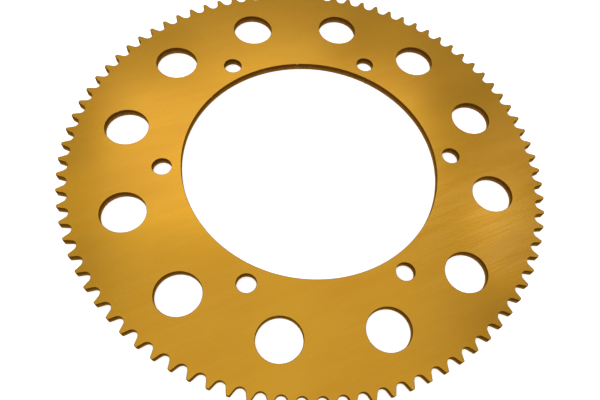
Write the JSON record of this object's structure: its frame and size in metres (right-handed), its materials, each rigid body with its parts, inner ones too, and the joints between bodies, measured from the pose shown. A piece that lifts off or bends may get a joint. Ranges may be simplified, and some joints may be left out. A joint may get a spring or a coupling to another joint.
{
  "type": "rear sprocket",
  "caption": "Flat round chain sprocket plate with fine teeth, a large centre bore, a bolt circle and a ring of lightening holes.",
  "frame": {"origin": "on the bore's axis, at the seating face that lies on the carrier", "axes": "+Z along the bore axis, from the seating face to the outer face; +X through the first bolt hole"},
  "size_m": [0.2194, 0.2193, 0.0035],
  "materials": {
    "gold_anodised_plate": "satin gold anodised over rolled sheet"
  },
  "bodies": {
    "root": {"sprocket": "gold_anodised_plate"}
  },
  "joints": []
}
